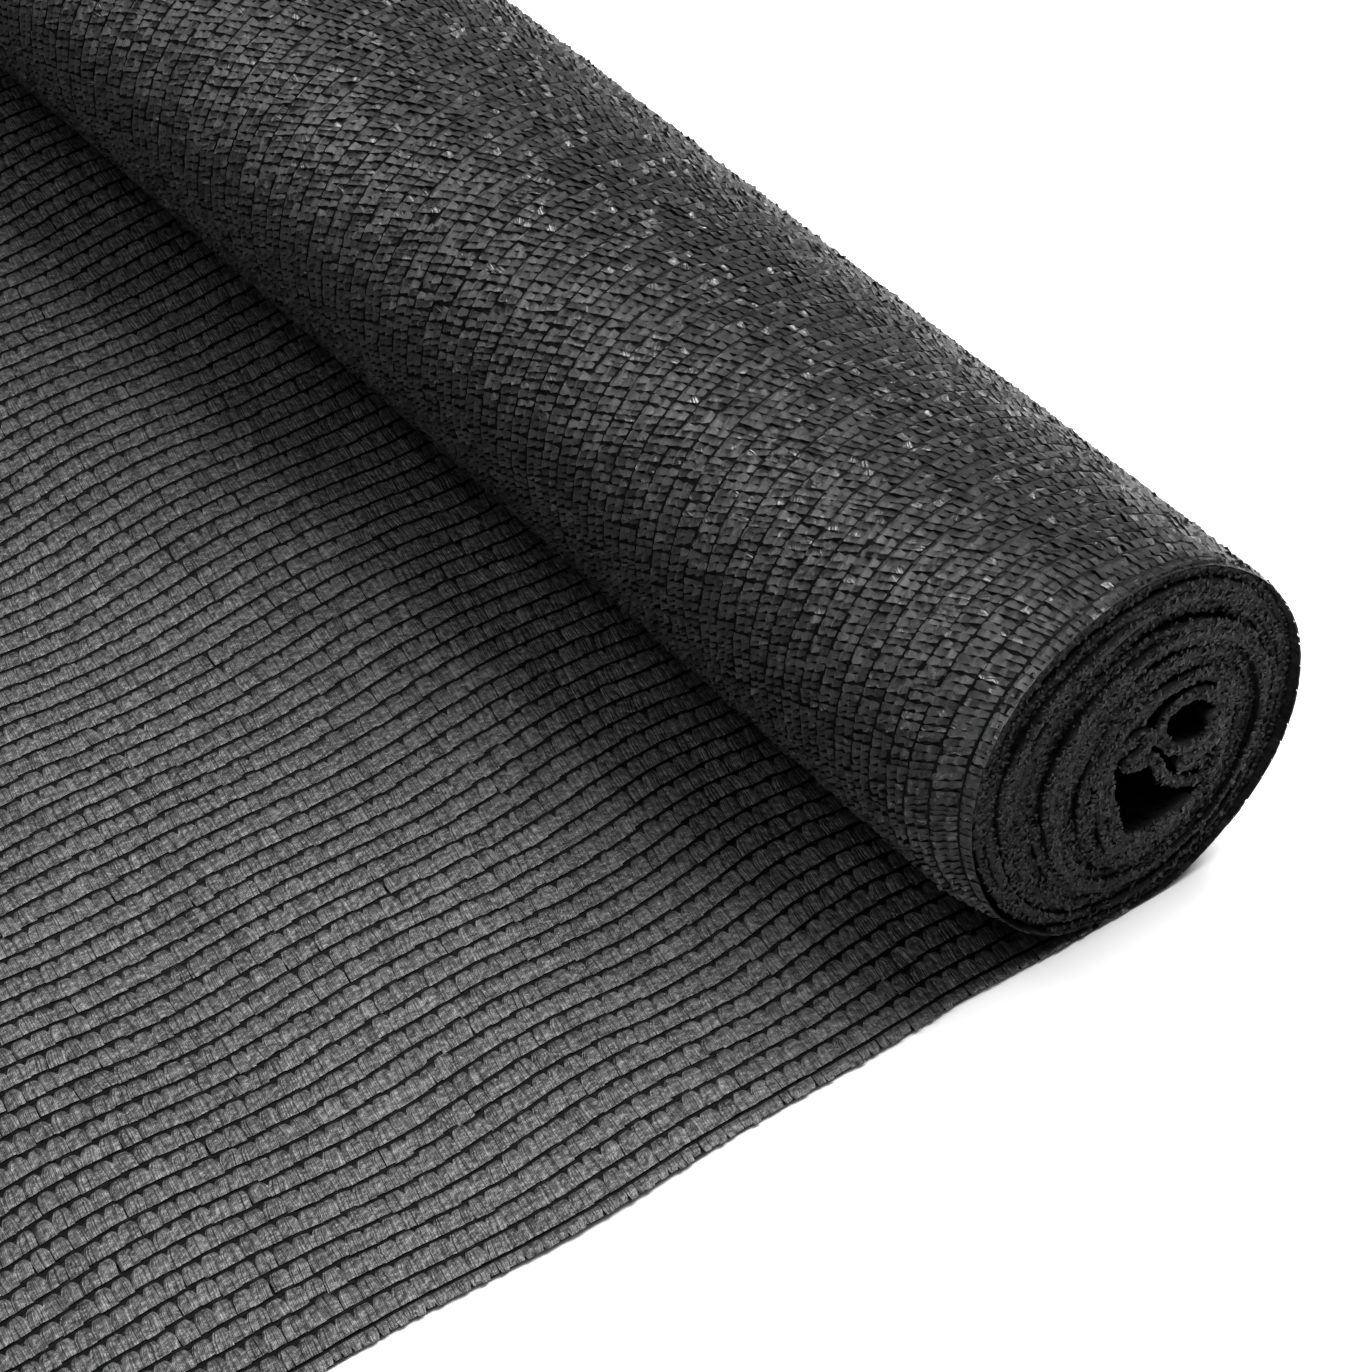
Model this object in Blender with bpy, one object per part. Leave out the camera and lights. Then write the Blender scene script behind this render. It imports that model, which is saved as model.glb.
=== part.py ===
"""A cut length of knitted shade cloth, wound into a roll that lies on its own unrolled end.

It is one piece of cloth, so it is one solid. The roll's axis runs along Y and its near end faces -Y.
The loose end lies flat towards -X, passes under the roll and turns up into its outermost layer on the
+X side. The origin is on the floor, in the middle of the footprint.
"""

import math

import bmesh
import bpy

# Cloth, in metres
CLOTH_WIDTH = 0.750
SHEET_THICKNESS = 0.0015
LOOSE_LENGTH = 0.300

# Roll
ROLL_RADIUS = 0.0330
RESTING_SAG = 0.0006
SIDE_LUMP = 0.0005
ARC_STEPS = 58

# Rows from the near end to the far one
END_ROWS = [
    # (distance in from the end, how far the roll's outside draws in there)
    (0.0000, 0.0004),
    (0.0025, 0.0000),
]
MIDDLE_ROWS = 17

# Face at each end of the roll. The outermost layer stands proud of the others, whose main turns are a
# spiral ridge. Shares go from 0 at the rim to 1 at the hollow.
FACE_RINGS = 18
OUTER_LAYER_SHARE = 0.045
SET_BACK_SHARE = 0.060
SET_BACK = 0.0028
MAIN_TURNS = 5
RIDGE_HEIGHT = 0.0016
DISH_DEPTH = 0.0015

# Slack between two turns, on the loose end's side
SLACK_SHARE = 0.30
SLACK_WIDTH = 0.045
SLACK_DEPTH = 0.0040
SLACK_TURN = 0.80
SLACK_REACH = 0.17

# Open hollow that the first turns leave, as shares of the roll's radius from its axis
HOLLOW_ACROSS = 0.06
HOLLOW_UP = -0.33
HOLLOW_OUTLINE = [
    # (degrees round from +X towards +Z, distance from the hollow's middle)
    (0.0, 0.13),
    (66.0, 0.18),
    (127.0, 0.20),
    (180.0, 0.12),
    (236.0, 0.18),
    (287.0, 0.16),
    (326.0, 0.25),
]
HOLLOW_DEPTH = 0.014
HOLLOW_TAPER = 0.45
HOLLOW_STEPS = 3

# Small swirl of the cloth's first fold, beside the hollow
SWIRL_ACROSS = 0.42
SWIRL_UP = -0.07
SWIRL_SIZE = 0.13
SWIRL_DEPTH = 0.0035

# Loose end
SHEET_STEPS = 20
FREE_END_LIFT = 0.0035
RIPPLE_LIFT = 0.0022
FLAT_BY_ROLL = 0.035
SELVAGE_WAVER = 0.0008

# Colour and finish of the yarn
YARN_COLOUR = (0.030, 0.031, 0.033, 1.0)
YARN_ROUGHNESS = 0.48

AXIS_HEIGHT = ROLL_RADIUS - RESTING_SAG
FLAT_HALF_WIDTH = math.sqrt(ROLL_RADIUS ** 2 - AXIS_HEIGHT ** 2)
JOIN_ANGLE = math.acos((AXIS_HEIGHT - SHEET_THICKNESS) / (ROLL_RADIUS - SHEET_THICKNESS))
JOIN_X = -(ROLL_RADIUS - SHEET_THICKNESS) * math.sin(JOIN_ANGLE)


def clear_scene():
    for item in list(bpy.data.objects):
        bpy.data.objects.remove(item)


def smoothstep(value):
    value = min(max(value, 0.0), 1.0)
    return value * value * (3.0 - 2.0 * value)


def cloth_material():
    material = bpy.data.materials.new("knitted_yarn")
    material.use_nodes = True
    shader = material.node_tree.nodes["Principled BSDF"]
    shader.inputs["Base Color"].default_value = YARN_COLOUR
    shader.inputs["Roughness"].default_value = YARN_ROUGHNESS
    shader.inputs["Metallic"].default_value = 0.0
    return material


# Section of the cloth across the roll, as (x, z) points


def roll_section(along, drawn_in):
    """The roll's outline from the floor under it, up the +X side, over and down to the loose end."""
    first = math.asin(FLAT_HALF_WIDTH / ROLL_RADIUS)
    last = 2.0 * math.pi - JOIN_ANGLE
    points = [(JOIN_X, 0.0), (0.0, 0.0)]
    for step in range(ARC_STEPS + 1):
        share = step / ARC_STEPS
        angle = first + (last - first) * share
        lump = math.sin(2.0 * angle + 0.7 + 6.0 * along) + 0.7 * math.sin(3.0 * angle - 9.0 * along)
        held = math.sin(math.pi * share) ** 0.5
        radius = ROLL_RADIUS - SHEET_THICKNESS * share + (SIDE_LUMP * lump - drawn_in) * held
        points.append((radius * math.sin(angle), AXIS_HEIGHT - radius * math.cos(angle)))
    points[-1] = (JOIN_X, SHEET_THICKNESS)
    return points


def sheet_lift(from_roll, along):
    """How far the loose end stands off the floor: it lies flat but for soft ripples and its cut end."""
    ripple = math.sin(13.0 * along - 17.0 * from_roll + 0.9) * math.sin(9.0 * along + 26.0 * from_roll)
    ripple = max(ripple - 0.25, 0.0) * RIPPLE_LIFT
    cut_end = smoothstep((from_roll - LOOSE_LENGTH + 0.045) / 0.045)
    cut_end *= FREE_END_LIFT * (0.5 + 0.5 * math.sin(19.0 * along + 0.8))
    return (ripple + cut_end) * smoothstep((from_roll - FLAT_BY_ROLL) / 0.06)


def selvage_shift(from_roll, along):
    """How far a point moves along Y, because the two selvages of the loose end aren't quite straight."""
    near = math.sin(47.0 * from_roll + 0.4) + 0.5 * math.sin(118.0 * from_roll)
    far = math.sin(39.0 * from_roll + 2.1) + 0.5 * math.sin(97.0 * from_roll)
    place = 0.5 + along / CLOTH_WIDTH
    reach = smoothstep(from_roll / FLAT_BY_ROLL)
    return SELVAGE_WAVER * reach * (near * (1.0 - place) + far * place)


def sheet_points(along, height):
    """Points of the loose end from the roll to the cut end, at one place along the roll."""
    reach = LOOSE_LENGTH + JOIN_X
    points = []
    for step in range(1, SHEET_STEPS + 1):
        from_roll = reach * step / SHEET_STEPS
        place = along + selvage_shift(from_roll, along)
        points.append((JOIN_X - from_roll, place, sheet_lift(from_roll, along) + height))
    return points


# Faces at the roll's ends


def hollow_radius(angle):
    """The hollow's reach in a direction, smoothly between the rows of its outline."""
    degrees = math.degrees(angle) % 360.0
    rows = HOLLOW_OUTLINE + [(HOLLOW_OUTLINE[0][0] + 360.0, HOLLOW_OUTLINE[0][1])]
    for (start, before), (end, after) in zip(rows, rows[1:]):
        if start <= degrees <= end:
            return before + (after - before) * smoothstep((degrees - start) / (end - start))
    return rows[-1][1]


def hollow_section(size, count):
    """The hollow's outline with as many points as the roll's, starting under it as the roll's does."""
    points = []
    for index in range(count):
        angle = -math.pi / 2.0 - JOIN_ANGLE + 2.0 * math.pi * index / count
        radius = size * hollow_radius(angle)
        across = (HOLLOW_ACROSS + radius * math.cos(angle)) * ROLL_RADIUS
        height = AXIS_HEIGHT + (HOLLOW_UP + radius * math.sin(angle)) * ROLL_RADIUS
        points.append((across, height))
    return points


def face_depth(share, turn, across, height):
    """How deep the face lies at a share of the way in from the rim, and of the way round."""
    if share <= OUTER_LAYER_SHARE:
        return 0.0
    ridge = 0.5 + 0.5 * math.cos(2.0 * math.pi * (MAIN_TURNS * share - turn))
    ridge *= smoothstep(6.0 * (1.0 - share) + 0.2)
    off_slack = math.hypot((share - SLACK_SHARE) / SLACK_WIDTH, (turn - SLACK_TURN) / SLACK_REACH)
    slack = math.exp(-(off_slack ** 2))
    from_swirl = math.hypot(
        across / ROLL_RADIUS - SWIRL_ACROSS, (height - AXIS_HEIGHT) / ROLL_RADIUS - SWIRL_UP
    )
    swirl = math.exp(-((from_swirl / SWIRL_SIZE) ** 2))
    dish = SET_BACK + DISH_DEPTH * share ** 2
    return dish + RIDGE_HEIGHT * (1.0 - ridge) + SLACK_DEPTH * slack + SWIRL_DEPTH * swirl


def face_rings(rim, side):
    """Rings of 3-D points from the rim inwards, and down into the hollow. side is -1 or 1, along Y."""
    end = side * CLOTH_WIDTH / 2.0
    hollow = hollow_section(1.0, len(rim))
    shares = [OUTER_LAYER_SHARE]
    for ring in range(FACE_RINGS):
        shares.append(SET_BACK_SHARE + (1.0 - SET_BACK_SHARE) * ring / (FACE_RINGS - 1))
    rings = []
    for share in shares:
        points = []
        for index, (outer, inner) in enumerate(zip(rim, hollow)):
            across = outer[0] + (inner[0] - outer[0]) * share
            height = outer[1] + (inner[1] - outer[1]) * share
            depth = face_depth(share, index / len(rim), across, height)
            points.append((across, end - side * depth, height))
        rings.append(points)
    for step in range(1, HOLLOW_STEPS + 1):
        share = step / HOLLOW_STEPS
        narrow = hollow_section(1.0 - (1.0 - HOLLOW_TAPER) * share, len(rim))
        depth = SET_BACK + DISH_DEPTH + RIDGE_HEIGHT + SWIRL_DEPTH + HOLLOW_DEPTH * share
        rings.append([(across, end - side * depth, height) for across, height in narrow])
    return rings


# Mesh


def rows_along():
    """(place along Y, how far the roll's outside draws in) from the near end to the far one."""
    half = CLOTH_WIDTH / 2.0
    near = [(distance - half, drawn_in) for distance, drawn_in in END_ROWS]
    far = [(half - distance, drawn_in) for distance, drawn_in in reversed(END_ROWS)]
    first = near[-1][0]
    span = far[0][0] - first
    middle = [(first + span * row / (MIDDLE_ROWS + 1), 0.0) for row in range(1, MIDDLE_ROWS + 1)]
    return near + middle + far


def add_quad(mesh, first, second, third, fourth):
    mesh.faces.new((first, second, third))
    mesh.faces.new((first, third, fourth))


def bridge(mesh, first, second):
    """Joins two closed loops of the same number of points."""
    count = len(first)
    for index in range(count):
        following = (index + 1) % count
        add_quad(mesh, first[index], first[following], second[following], second[index])


def add_face(mesh, rim_vertices, rim, side):
    """Closes the roll at one end, with its main turns and its hollow."""
    previous = rim_vertices
    for ring in face_rings(rim, side):
        current = [mesh.verts.new(point) for point in ring]
        bridge(mesh, previous, current)
        previous = current
    middle = sum((vertex.co for vertex in previous), start=previous[0].co * 0.0) / len(previous)
    centre = mesh.verts.new(middle)
    for index, vertex in enumerate(previous):
        mesh.faces.new((vertex, previous[(index + 1) % len(previous)], centre))


def build_cloth(material):
    mesh = bmesh.new()
    rows = rows_along()
    rolls = []
    outlines = []
    for along, drawn_in in rows:
        section = roll_section(along, drawn_in)
        roll = [mesh.verts.new((across, along, height)) for across, height in section]
        top = [mesh.verts.new(point) for point in sheet_points(along, SHEET_THICKNESS)]
        bottom = [mesh.verts.new(point) for point in sheet_points(along, 0.0)]
        rolls.append(roll)
        outlines.append(roll + top + list(reversed(bottom)))
    for first, second in zip(outlines, outlines[1:]):
        bridge(mesh, first, second)
    for index, side in ((0, -1), (-1, 1)):
        roll, outline = rolls[index], outlines[index]
        add_face(mesh, roll, roll_section(*rows[index]), side)
        top = [roll[-1]] + outline[len(roll):len(roll) + SHEET_STEPS]
        bottom = [roll[0]] + list(reversed(outline[len(roll) + SHEET_STEPS:]))
        for step in range(SHEET_STEPS):
            add_quad(mesh, top[step], top[step + 1], bottom[step + 1], bottom[step])
    bmesh.ops.recalc_face_normals(mesh, faces=mesh.faces)
    data = bpy.data.meshes.new("shade_cloth")
    mesh.to_mesh(data)
    mesh.free()
    data.materials.append(material)
    data.shade_smooth()
    data.set_sharp_from_angle(angle=math.radians(40.0))
    cloth = bpy.data.objects.new("shade_cloth", data)
    bpy.context.scene.collection.objects.link(cloth)
    return cloth


def centre_on_floor(cloth):
    """Puts the origin on the floor, in the middle of the footprint."""
    across = [vertex.co.x for vertex in cloth.data.vertices]
    along = [vertex.co.y for vertex in cloth.data.vertices]
    cloth.location.x = -(min(across) + max(across)) / 2.0
    cloth.location.y = -(min(along) + max(along)) / 2.0


clear_scene()
centre_on_floor(build_cloth(cloth_material()))
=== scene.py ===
"""Looks of a rolled shade cloth: black knitted net, wound up and lying on its own loose end.

The file is laid out as an add-on, with one operator for the wound turns, one for the net and one for
the stage. Run as a script, it runs all three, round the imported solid.

Cloth coordinates: `length` runs along the cloth, from the line on the floor under the roll's axis.
It is negative on the loose end and positive on the roll. `across` runs from the near selvage to the
far one, and `height` stands off the cloth's middle surface.
"""

import math

import bpy
import numpy as np
from bpy.props import FloatProperty, FloatVectorProperty, PointerProperty
from mathutils import Matrix, Vector


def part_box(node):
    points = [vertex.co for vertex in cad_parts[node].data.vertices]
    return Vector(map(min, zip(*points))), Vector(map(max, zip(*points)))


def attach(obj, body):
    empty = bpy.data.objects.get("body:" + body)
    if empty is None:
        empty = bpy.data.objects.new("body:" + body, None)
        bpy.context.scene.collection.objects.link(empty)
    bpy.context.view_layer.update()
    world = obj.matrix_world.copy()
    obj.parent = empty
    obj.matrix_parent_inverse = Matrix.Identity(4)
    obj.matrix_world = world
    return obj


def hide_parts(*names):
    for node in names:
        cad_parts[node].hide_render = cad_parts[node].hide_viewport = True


bl_info = {
    "name": "Rolled shade cloth",
    "version": (1, 0, 0),
    "blender": (4, 5, 0),
    "location": "View3D > Sidebar > Shade Cloth",
    "description": "Knitted shade cloth wound into a roll on its own loose end",
    "category": "Add Mesh",
}

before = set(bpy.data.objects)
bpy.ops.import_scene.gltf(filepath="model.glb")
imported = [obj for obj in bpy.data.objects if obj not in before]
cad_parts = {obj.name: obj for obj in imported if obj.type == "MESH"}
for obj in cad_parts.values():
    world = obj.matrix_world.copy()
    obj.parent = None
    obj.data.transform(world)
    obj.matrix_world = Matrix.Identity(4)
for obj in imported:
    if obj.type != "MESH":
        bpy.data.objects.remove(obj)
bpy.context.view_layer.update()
SOLID = "shade_cloth"
LOW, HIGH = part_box(SOLID)

# Roll and loose end, as the solid has them
ROLL_RADIUS = 0.0330
RESTING_SAG = 0.0006
SIDE_LUMP = 0.0005
SHEET_THICKNESS = 0.0015
CLOTH_WIDTH = 0.750
FLAT_BY_ROLL = 0.035
FREE_END_LIFT = 0.0035
RIPPLE_LIFT = 0.0022
SELVAGE_WAVER = 0.0008
AXIS_X = HIGH.x - ROLL_RADIUS
AXIS_Z = ROLL_RADIUS - RESTING_SAG
LOOSE_LENGTH = AXIS_X - LOW.x
JOIN_LENGTH = 0.0064

# How the cloth was wound. Turns are counted from the line under the roll
FIRST_TURN = 0.92
LAST_TURN = 11.79
STEPS_PER_TURN = 64
SLACK_ROOM = 0.0030
CORE_START = 0.40
CORE_ACROSS = 0.21
CORE_UP = -0.20
CORE_STRETCH = 0.05
CORE_TILT = math.radians(132.0)
DENT = 0.30
DENT_AT = math.radians(230.0)
DENT_WIDTH = math.radians(38.0)
# The first inner turn lies this much closer to the outermost one than evenly spaced turns would
CLOSE_TURN = 0.0007
# Places along the roll whose lumps the turns have at its near and far end
NEAR_LUMPS = -0.2
FAR_LUMPS = 0.36
# The outermost turn's share of a full one, up to where it meets the loose end
OUTERMOST_SHARE = 0.965
SLACKS = [
    # (after this turn, direction in degrees round from below, degrees to each side, gap)
    (2, 200.0, 60.0, 0.0006),
    (3, 292.0, 65.0, 0.0008),
    (5, 150.0, 60.0, 0.0006),
    (6, 285.0, 45.0, 0.0007),
    (8, 170.0, 55.0, 0.0007),
    (9, 275.0, 55.0, 0.0010),
    (10, 160.0, 50.0, 0.0008),
]
# The first fold, from the last full turn inwards, as shares of the roll's radius from its axis. It
# takes over from the turns a few steps before their end
FOLD_OVERLAP = 8
FOLD_STEPS = 6
FOLD_ROOM = 0.0021
LEAST_ROOM = 0.0006
CORE_FOLD = [
    (-0.19, -0.42),
    (-0.14, -0.55),
    (-0.04, -0.63),
    (0.08, -0.65),
    (0.22, -0.64),
    (0.36, -0.60),
    (0.47, -0.52),
    (0.54, -0.41),
    (0.58, -0.29),
    (0.62, -0.17),
    (0.63, -0.04),
    (0.59, 0.08),
    (0.51, 0.15),
    (0.38, 0.18),
    (0.26, 0.15),
    (0.15, 0.10),
    (0.05, 0.08),
    (-0.05, 0.08),
    (-0.12, 0.03),
    (-0.15, -0.08),
    (-0.14, -0.22),
    (-0.13, -0.36),
    (-0.10, -0.49),
    (-0.03, -0.56),
    (0.08, -0.59),
    (0.20, -0.58),
    (0.32, -0.55),
    (0.37, -0.51),
    (0.31, -0.50),
    (0.19, -0.52),
    (0.08, -0.53),
    (-0.02, -0.50),
    (-0.07, -0.42),
    (-0.08, -0.30),
    (-0.08, -0.18),
    (-0.07, -0.06),
    (0.01, 0.00),
    (0.11, 0.03),
    (0.17, -0.02),
    (0.10, -0.06),
    (0.02, -0.09),
    (0.08, -0.13),
    (0.16, -0.13),
    (0.20, -0.20),
    (0.23, -0.28),
    (0.30, -0.36),
    (0.39, -0.42),
    (0.46, -0.44),
    (0.50, -0.38),
    (0.44, -0.32),
    (0.35, -0.28),
    (0.33, -0.23),
    (0.42, -0.25),
    (0.52, -0.23),
    (0.56, -0.13),
    (0.56, -0.02),
    (0.50, 0.06),
    (0.41, 0.09),
    (0.29, 0.07),
    (0.24, -0.02),
    (0.26, -0.12),
    (0.34, -0.17),
    (0.45, -0.18),
    (0.51, -0.12),
    (0.51, -0.05),
]

# Net
BANDS = 4
SEED = 11
LEAST_HEIGHT = 0.00003
SELVAGE_TAPE = 0.00168
# How much lighter the chains and the net's back are painted on the roll than on the loose end, whose darker
# copy is painted shade in the grooves and slits between its strips
ROLL_CHAIN_LESS_SHADE = 2.5
ROLL_BACK_LESS_SHADE = 3.0

# The roll's ends: they round inwards at the upper left, and the outermost turn stands out at the right
EDGE_DIP = 0.0042
EDGE_RUN = 0.0110
EDGE_BULGE = 0.0006

# How the front strips lie. Along a strip the tables go from the far chain to the near one, and
# lengths along the cloth are shares of a stitch
LOOSE_STRIPS = {
    "share": (0.0, 0.13, 0.40, 1.0),
    "reach": (0.945, 0.090),
    "width": (0.46, 0.74, 1.06, 1.04),
    "gather": (0.42, 0.68, 1.0, 1.0),
    "rise": (0.35, 0.85, 1.0, 0.55),
    "fill": 0.55,
    "lean_over": 0.23,
    "crown": 0.6,
    "triple": 0.12,
    "sway": 0.02,
    "lean": 0.03,
    "shift": 0.006,
    "uneven_width": 0.04,
    "uneven_crown": 0.15,
    "ripple": 0.0,
    "level": 1.23,
    "twist": 0.00005,
    "tone": 0.20,
    "patchy": 0.0,
}
ROLL_STRIPS = {
    "share": (0.0, 0.25, 0.5, 0.75, 1.0),
    "reach": (0.972, 0.035),
    "width": (0.56, 0.98, 0.56, 0.96, 0.56),
    "gather": (0.95, 1.0, 1.0, 1.0, 0.97),
    "rise": (0.0, 1.0, -0.05, 0.95, 0.0),
    "fill": 0.1,
    "lean_over": 0.55,
    "crown": 1.25,
    "triple": 0.12,
    "sway": 0.03,
    "lean": 0.08,
    "shift": 0.02,
    "uneven_width": 0.08,
    "uneven_crown": 0.20,
    "ripple": 0.00004,
    "level": 1.17,
    "twist": 0.00014,
    "tone": 0.15,
    "patchy": 0.46,
}

# Yarns: which colour, roughness, fleck size, fleck contrast, depth of relief and specular level
YARNS = {
    "tape_yarn": ("tape", 0.42, 0.0011, 4.0, 0.00020, 0.44),
    "roll_tape": ("tape", 0.33, 0.0013, 2.8, 0.00042, 0.95),
    # The edge, chain and ground yarns have colours darkened as painted shade
    "shaded_edge_tape": ("edge", 0.42, 0.0009, 2.0, 0.00010, 0.20),
    "chain_yarn_and_shade": ("chain", 0.6, 0.0005, 1.0, 0.00004, 0.04),
    "shaded_ground_tape": ("ground", 0.6, 0.0007, 1.4, 0.00005, 0.10),
}

# Lights: place from the near part of the roll, size, and share of the key's power
LIGHTS = {
    "key": ((0.76, 0.10, 1.33), (1.1, 1.1), 1.0),
    "side": ((-0.60, 0.50, 1.30), (0.5, 0.5), 0.06),
    "back": ((0.95, 0.45, 1.00), (0.8, 0.8), 0.09),
}


class ShadeClothSizes(bpy.types.PropertyGroup):
    """Sizes of the knit and of the winding."""

    row_pitch: FloatProperty(
        name="Row pitch",
        description="Distance between two chains of stitches",
        default=0.00424,
        unit="LENGTH",
    )
    stitch: FloatProperty(
        name="Stitch",
        description="Length of one stitch along a chain",
        default=0.0030,
        unit="LENGTH",
    )
    tape_width: FloatProperty(
        name="Tape width",
        description="Width of the tape that crosses between chains, of which two lie in a stitch",
        default=0.00159,
        unit="LENGTH",
    )
    tape_crown: FloatProperty(
        name="Tape crown",
        description="How far a strip arches up between its two chains",
        default=0.00042,
        unit="LENGTH",
    )
    chain_width: FloatProperty(
        name="Chain width",
        description="Width of a chain at its knots",
        default=0.00062,
        unit="LENGTH",
    )
    selvage: FloatProperty(
        name="Selvage",
        description="Width of the looped edge outside the last chain",
        default=0.0027,
        unit="LENGTH",
    )
    turn_thickness: FloatProperty(
        name="Turn thickness",
        description="Thickness of the cloth in the roll",
        default=0.00050,
        unit="LENGTH",
    )
    edge_thickness: FloatProperty(
        name="Edge thickness",
        description="Greatest thickness of the turns at their selvages, where the loose knit spreads",
        default=0.0030,
        unit="LENGTH",
    )
    set_back: FloatProperty(
        name="Set-back",
        description="How far the inner turns' near selvage lies behind the outermost one",
        default=0.0008,
        unit="LENGTH",
    )
    wander: FloatProperty(
        name="Wander",
        description="How far the chains of the loose end stray to each side",
        default=0.0011,
        unit="LENGTH",
    )


class ShadeClothColours(bpy.types.PropertyGroup):
    """Colours of the yarns. The chain, edge and ground colours are darker than the tape's, partly as painted
    shade.
    """

    tape: FloatVectorProperty(
        name="Tape",
        description="Flat tape that fills the net",
        default=(0.032, 0.032, 0.033),
        subtype="COLOR",
        size=3,
    )
    # Near black: the chain yarn is dark, and its colour also holds painted shade of the groove it lies in
    chain: FloatVectorProperty(
        name="Chain",
        description="Round yarn of the chains",
        default=(0.002, 0.002, 0.002),
        subtype="COLOR",
        size=3,
    )
    # Far darker than the tape: painted shade of the roll's end, which faces away from the light
    edge: FloatVectorProperty(
        name="Edge",
        description="Tape at the turns' selvages",
        default=(0.0060, 0.0060, 0.0060),
        subtype="COLOR",
        size=3,
    )
    # Near black, darker than the tape: painted shade in the slits between the strips and inside the roll,
    # where it colours the inner turns
    ground: FloatVectorProperty(
        name="Ground",
        description="Tape on the net's back",
        default=(0.005, 0.005, 0.005),
        subtype="COLOR",
        size=3,
    )


class ShadeClothStage(bpy.types.PropertyGroup):
    """Floor and light."""

    floor: FloatVectorProperty(
        name="Floor",
        description="Colour of the floor",
        default=(0.90, 0.90, 0.90),
        subtype="COLOR",
        size=3,
    )
    key_power: FloatProperty(
        name="Key power",
        description="Power of the large light overhead",
        default=53.0,
        unit="POWER",
    )
    surround: FloatProperty(
        name="Surround",
        description="Strength of the even light from straight above",
        default=1.10,
    )


# Curves and waves


def smoothstep(value):
    value = np.clip(value, 0.0, 1.0)
    return value * value * (3.0 - 2.0 * value)


def waves(first, second, table):
    """A smooth uneven field from a short table of (size, along first, along second, phase)."""
    field = 0.0
    for size, along_first, along_second, phase in table:
        field = field + size * np.sin(along_first * first + along_second * second + phase)
    return field


def smooth_curve(points, steps):
    """A curve through the points, with a number of steps for each stretch."""
    padded = np.vstack([2 * points[0] - points[1], points, 2 * points[-1] - points[-2]])
    share = np.arange(steps)[:, None] / steps
    stretches = []
    for before, start, end, after in zip(padded, padded[1:], padded[2:], padded[3:]):
        bend = 2 * before - 5 * start + 4 * end - after
        turn = 3 * start - before - 3 * end + after
        stretches.append(start + 0.5 * share * (end - before + share * (bend + share * turn)))
    return np.vstack(stretches + [points[-1:]])


# Roll


def direction(turns):
    """Unit vector from the axis in x and z; turn 0 points down and a quarter turn points to +X."""
    angle = 2.0 * math.pi * turns
    return np.stack([np.sin(angle), -np.cos(angle)], axis=-1)


def slack(turns):
    """How far the gaps between loose turns have brought a turn inwards."""
    degrees = 360.0 * turns
    total = np.zeros_like(degrees)
    for after, centre, spread, gap in SLACKS:
        off = (degrees - centre + 180.0) % 360.0 - 180.0
        opposite = after + (centre / 360.0 + 0.5) % 1.0
        window = np.where(np.abs(off) < spread, np.cos(0.5 * math.pi * off / spread) ** 2, 0.0)
        total += gap * window * (turns > opposite)
    return total


def roll_point(turns, along, height, sizes):
    """(x, z) of the wound cloth's middle surface, raised outwards by a height."""
    angle = 2.0 * math.pi * turns
    pitch = (ROLL_RADIUS * (1.0 - CORE_START) - SLACK_ROOM) / LAST_TURN
    lump = np.sin(2.0 * angle + 0.7 + 6.0 * along) + 0.7 * np.sin(3.0 * angle - 9.0 * along)
    held = np.abs(np.sin(0.5 * angle)) ** 0.5
    core = np.clip((turns - 1.0) / (LAST_TURN - 1.0), 0.0, 1.0)
    from_dent = (angle - DENT_AT + math.pi) % (2.0 * math.pi) - math.pi
    dent = DENT * np.exp(-((from_dent / DENT_WIDTH) ** 2))
    radius = ROLL_RADIUS - 0.5 * sizes.turn_thickness - pitch * turns - slack(turns)
    radius = radius + CLOSE_TURN * smoothstep((turns - 0.95) / 0.15) * smoothstep((1.8 - turns) / 0.3)
    radius = radius + SIDE_LUMP * lump * held
    stretch = CORE_STRETCH * np.cos(2.0 * (angle - CORE_TILT)) - dent * core**2
    radius = radius * (1.0 + core * stretch) + height
    outward = direction(turns)
    x = AXIS_X + radius * outward[..., 0] + CORE_ACROSS * ROLL_RADIUS * core
    z = AXIS_Z + radius * outward[..., 1] + CORE_UP * ROLL_RADIUS * core
    return x, np.maximum(z, 0.0004 + np.maximum(height, -0.0003))


def turn_counts():
    return np.arange(FIRST_TURN, LAST_TURN, 1.0 / STEPS_PER_TURN)


def winding(sizes, along):
    """The wound cloth's middle line in x and z, from under the roll to the end of the first fold."""
    wound = np.stack(roll_point(turn_counts(), along, 0.0, sizes), axis=-1)
    fold = np.array(CORE_FOLD) * ROLL_RADIUS + (AXIS_X, AXIS_Z)
    joined = np.vstack([wound[-1 - FOLD_OVERLAP :: FOLD_OVERLAP], fold])
    curve = smooth_curve(joined, FOLD_STEPS)
    return np.vstack([wound[:-FOLD_OVERLAP], curve[FOLD_STEPS:]])


def sideways(line):
    """Unit normals of a line of points, on its outer side."""
    along = np.gradient(line, axis=0)
    along /= np.linalg.norm(along, axis=1, keepdims=True)
    return np.stack([along[:, 1], -along[:, 0]], axis=-1)


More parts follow.
